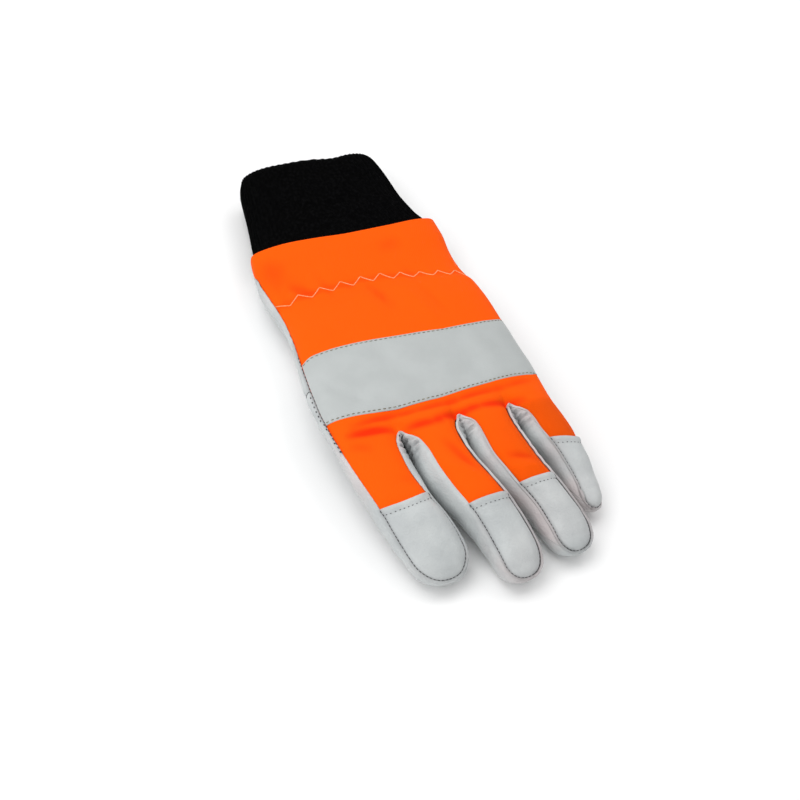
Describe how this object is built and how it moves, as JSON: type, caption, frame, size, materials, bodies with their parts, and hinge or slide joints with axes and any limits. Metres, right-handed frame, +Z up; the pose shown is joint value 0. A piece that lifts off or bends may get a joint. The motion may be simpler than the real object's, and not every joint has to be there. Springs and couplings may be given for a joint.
{
  "type": "protective glove",
  "caption": "High-visibility leather work glove for the left hand, lying palm down, with a ribbed knit cuff and a pale band across the knuckles.",
  "frame": {"origin": "bottom centre of the glove's box, on the surface that it lies on", "axes": "+Z up, out of the back of the hand; -Y to the fingertips, +Y to the knit cuff; +X to the little finger"},
  "size_m": [0.118, 0.274, 0.0322],
  "materials": {
    "woven": "high-visibility orange woven polyester, matt",
    "leather": "pale grey grain leather, soft sheen",
    "band": "pale grey smooth coated strip, soft sheen",
    "knit": "black rib knit, matt"
  },
  "bodies": {
    "root": {"knit_cuff": "knit", "back_panel": "woven", "knuckle_band": "band", "index_cap": "leather", "middle_cap": "leather", "ring_cap": "leather", "little_cap": "leather", "index_middle_gusset": "leather", "middle_ring_gusset": "leather", "ring_little_gusset": "leather", "palm_panel": "leather", "thumb": "leather"}
  },
  "joints": []
}
